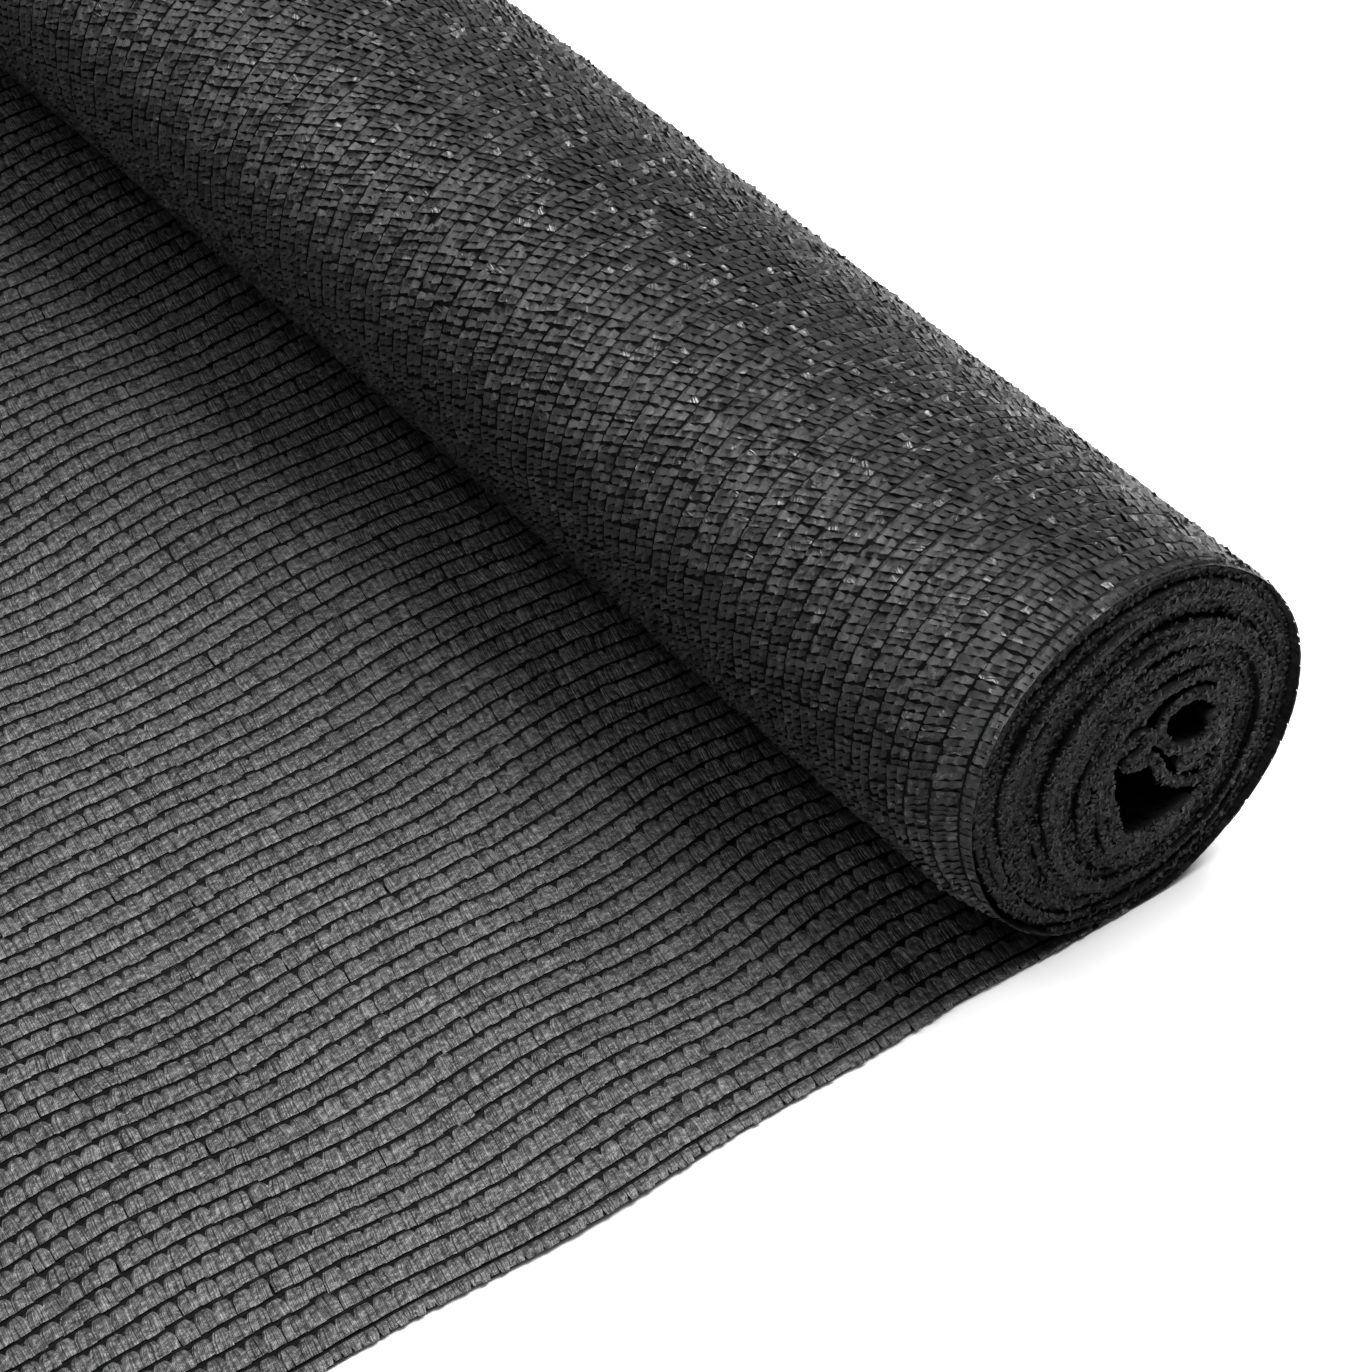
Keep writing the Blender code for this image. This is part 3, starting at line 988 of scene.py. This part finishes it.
class SHADECLOTH_OT_turns(bpy.types.Operator):
    """Builds the inner turns of the roll, down to the first fold"""

    bl_idname = "shade_cloth.turns"
    bl_label = "Wound Turns"

    def execute(self, context):
        sizes = context.scene.shade_cloth_sizes
        colours = context.scene.shade_cloth_colours
        line, far_line = winding(sizes, NEAR_LUMPS), winding(sizes, FAR_LUMPS)
        steps = np.linalg.norm(np.diff(line, axis=0), axis=1)
        distance = np.concatenate([[0.0], np.cumsum(steps)])
        ends = [end_reach(distance, side, sizes) for side in (-1.0, 1.0)]
        insets = np.array([0.0, 0.0004, 0.0016, 0.0040, 0.0080, 0.03])
        # between its ends, each turn takes the outermost one's lumps where it lies
        middle = np.linspace(-0.25, 0.25, 6)
        between = np.broadcast_to(middle, (len(line), len(middle)))
        along = np.concatenate([ends[0][:, None] + insets, between, ends[1][:, None] - insets[::-1]], axis=1)
        spread = np.interp(insets, [0.0, 0.0004, 0.0016, 0.0040], [0.85, 0.96, 0.70, 0.0])
        spread = np.concatenate([spread, 0.0 * middle, spread[::-1]])
        lines = [line] * len(insets) + [winding(sizes, place) for place in middle] + [far_line] * len(insets)
        lines = np.stack(lines + lines[::-1], axis=1)
        normals = np.stack([sideways(one) for one in lines.transpose(1, 0, 2)], axis=1)
        room = turn_room(len(line), sizes)[:, None]
        half = 0.5 * (sizes.turn_thickness + np.maximum(room - sizes.turn_thickness, 0.0) * spread)
        across = np.concatenate([along, along[:, ::-1]], axis=1)
        rise = np.concatenate([half, -half[:, ::-1]], axis=1)
        x = lines[:, :, 0] + normals[:, :, 0] * rise
        z = lines[:, :, 1] + normals[:, :, 1] * rise
        x, z = rounded_end(x, across, z)
        places = np.stack([x, across, z], axis=-1)
        steps, wide = across.shape
        ring = np.arange(wide)
        corner = np.arange(steps - 1)[:, None] * wide
        faces = [corner + ring, corner + (ring + 1) % wide]
        faces = np.stack([*faces, faces[1] + wide, faces[0] + wide], axis=-1).reshape(-1, 4)
        pair = np.arange(wide // 2 - 1)
        cap = np.stack([pair, wide - 1 - pair, wide - 2 - pair, pair + 1], axis=-1)
        faces = np.vstack([faces, cap, cap[:, ::-1] + (steps - 1) * wide])
        maps = np.stack(np.broadcast_arrays(across + 0.5, distance[:, None] / distance[-1]), axis=-1)
        maps = maps.reshape(-1, 2)[faces]
        places = places.reshape(-1, 3)
        numbers, tones, sides = np.zeros(len(faces)), np.ones(len(places)), np.zeros(len(places))
        # the inner turns take the near-black ground colour, painted shade of the roll's inside
        materials = [yarn_material("shaded_ground_tape", colours)]
        turns = add_piece("inner_turns", places, faces, numbers, tones, sides, maps, materials)
        rng = np.random.default_rng(SEED + 1)
        for side, name, run in ((-1.0, "near_edges", line), (1.0, "far_edges", far_line)):
            strips = turn_edges(run, sideways(run), distance, side, rng, sizes)
            add_piece(name, *joined_strips(strips), [yarn_material("shaded_edge_tape", colours)])
        return {"FINISHED"}


class SHADECLOTH_OT_net(bpy.types.Operator):
    """Knits the loose end and the outermost turn"""

    bl_idname = "shade_cloth.net"
    bl_label = "Knitted Net"

    def execute(self, context):
        sizes = context.scene.shade_cloth_sizes
        colours = context.scene.shade_cloth_colours
        knit = Knit(sizes)
        back_materials = [yarn_material("shaded_ground_tape", colours)]
        back = add_piece("net_back", *joined_strips(knit.ground()), back_materials)
        materials = [yarn_material(name, colours) for name in ("tape_yarn", "chain_yarn_and_shade", "roll_tape")]
        edges = np.linspace(0, knit.chains, BANDS + 1).round().astype(int)
        for number, (first, last) in enumerate(zip(edges, edges[1:])):
            final = last + 1 if last == knit.chains else last
            strips = knit.tapes(first, last) + knit.chain_lines(first, final)
            if first == 0 or last == knit.chains:
                strips += knit.selvage_strips(last == knit.chains)
            add_piece(f"net_band_{number + 1}", *joined_strips(strips), materials)
        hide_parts(SOLID)
        return {"FINISHED"}


class SHADECLOTH_OT_stage(bpy.types.Operator):
    """Sets up the pale floor, the soft light and the camera"""

    bl_idname = "shade_cloth.stage"
    bl_label = "Floor, Light and Camera"

    def execute(self, context):
        stage = context.scene.shade_cloth_stage
        add_floor(stage)
        for name, (place, size, share) in LIGHTS.items():
            add_light(name, place, size, share * stage.key_power)
        context.scene.world = add_surround(stage.surround)
        context.scene.view_settings.view_transform = "Standard"
        context.scene.camera = add_camera()
        return {"FINISHED"}


def add_surround(strength):
    """Even light from above that fades towards the horizon."""
    world = bpy.data.worlds.new("surround")
    world.use_nodes = True
    nodes, links = world.node_tree.nodes, world.node_tree.links
    place = nodes.new("ShaderNodeTexCoord")
    split = nodes.new("ShaderNodeSeparateXYZ")
    links.new(place.outputs["Generated"], split.inputs["Vector"])
    level = ranged(nodes, links, split.outputs["Z"], 0.50, 0.95, 0.02 * strength, strength)
    background = nodes["Background"]
    background.inputs["Color"].default_value = (1.0, 1.0, 1.0, 1.0)
    links.new(level, background.inputs["Strength"])
    return world


def add_floor(stage):
    mesh = bpy.data.meshes.new("floor")
    reach = 6.0
    corners = [(-reach, -reach, 0.0), (reach, -reach, 0.0), (reach, reach, 0.0), (-reach, reach, 0.0)]
    mesh.from_pydata(corners, [], [(0, 1, 2, 3)])
    material = bpy.data.materials.new("floor")
    material.use_nodes = True
    shader = material.node_tree.nodes["Principled BSDF"]
    shader.inputs["Base Color"].default_value = (*stage.floor, 1.0)
    shader.inputs["Roughness"].default_value = 0.9
    shader.inputs["Specular IOR Level"].default_value = 0.1
    mesh.materials.append(material)
    floor = bpy.data.objects.new("floor", mesh)
    bpy.context.scene.collection.objects.link(floor)


def add_light(name, place, size, power):
    """A rectangular soft light that faces the near part of the roll."""
    target = Vector((AXIS_X, -0.5 * CLOTH_WIDTH + 0.08, 0.0))
    data = bpy.data.lights.new(name, "AREA")
    data.shape = "RECTANGLE"
    data.size, data.size_y = size
    data.energy = power
    light = bpy.data.objects.new(name, data)
    light.location = target + Vector(place)
    light.rotation_mode = "QUATERNION"
    light.rotation_quaternion = (target - light.location).to_track_quat("-Z", "Y")
    bpy.context.scene.collection.objects.link(light)


def add_camera():
    """The photo's view: a long lens above the loose end, looking past the roll's near end."""
    right = Vector((0.8103, -0.5816, -0.0721)).normalized()
    back = Vector((-0.3975, -0.6358, 0.6617)).normalized()
    up = back.cross(right).normalized()
    right = up.cross(back)
    near_end = Vector((AXIS_X, -0.5 * CLOTH_WIDTH, AXIS_Z))
    offset_right, offset_down, distance = 0.0638, 0.0099, 0.7859
    data = bpy.data.cameras.new("camera")
    data.lens = 141.6
    data.sensor_width = 36.0
    data.clip_start = 0.01
    camera = bpy.data.objects.new("camera", data)
    turn = Matrix((right, up, back)).transposed()
    camera.matrix_world = Matrix.Translation(
        near_end - offset_right * right + offset_down * up + distance * back
    ) @ turn.to_4x4()
    bpy.context.scene.collection.objects.link(camera)
    return camera


class SHADECLOTH_PT_panel(bpy.types.Panel):
    """Lists the steps and the sizes of the shade cloth."""

    bl_idname = "SHADECLOTH_PT_panel"
    bl_label = "Shade Cloth"
    bl_space_type = "VIEW_3D"
    bl_region_type = "UI"
    bl_category = "Shade Cloth"

    def draw(self, context):
        layout = self.layout
        for operator in OPERATORS:
            layout.operator(operator.bl_idname)
        for group in ("shade_cloth_sizes", "shade_cloth_colours", "shade_cloth_stage"):
            values = getattr(context.scene, group)
            box = layout.box()
            for name in values.__annotations__:
                box.prop(values, name)


OPERATORS = (SHADECLOTH_OT_turns, SHADECLOTH_OT_net, SHADECLOTH_OT_stage)
GROUPS = {
    "shade_cloth_sizes": ShadeClothSizes,
    "shade_cloth_colours": ShadeClothColours,
    "shade_cloth_stage": ShadeClothStage,
}


def register():
    for group in GROUPS.values():
        bpy.utils.register_class(group)
    for name, group in GROUPS.items():
        setattr(bpy.types.Scene, name, PointerProperty(type=group))
    for operator in OPERATORS:
        bpy.utils.register_class(operator)
    bpy.utils.register_class(SHADECLOTH_PT_panel)


def unregister():
    bpy.utils.unregister_class(SHADECLOTH_PT_panel)
    for operator in reversed(OPERATORS):
        bpy.utils.unregister_class(operator)
    for name, group in GROUPS.items():
        delattr(bpy.types.Scene, name)
        bpy.utils.unregister_class(group)


def main():
    register()
    bpy.ops.shade_cloth.turns()
    bpy.ops.shade_cloth.net()
    bpy.ops.shade_cloth.stage()


if __name__ == "__main__":
    main()
